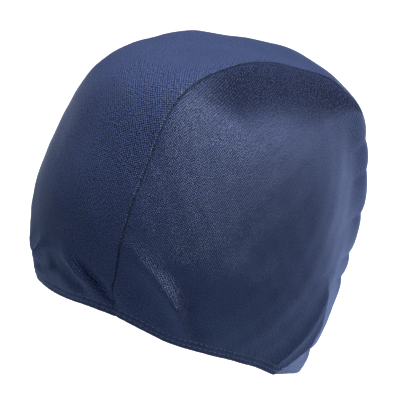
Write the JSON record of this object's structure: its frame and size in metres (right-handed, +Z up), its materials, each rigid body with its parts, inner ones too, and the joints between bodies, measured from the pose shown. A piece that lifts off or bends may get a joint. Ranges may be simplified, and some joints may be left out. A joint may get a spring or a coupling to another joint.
{
  "type": "swim cap",
  "caption": "Close-fitting knitted swim cap: a centre panel from forehead to nape between two side panels, with a turned-up elastic hem.",
  "frame": {"origin": "highest point of the inside of the crown, where the wearer's head carries the cap", "axes": "+Z up as worn, the face looks along -Y, the wearer's left is +X"},
  "size_m": [0.1562, 0.2039, 0.2015],
  "materials": {
    "knit": "satin",
    "hem": "satin"
  },
  "bodies": {
    "root": {"centre_panel": "knit", "side_panel_left": "knit", "side_panel_right": "knit", "hem_band": "hem"}
  },
  "joints": []
}
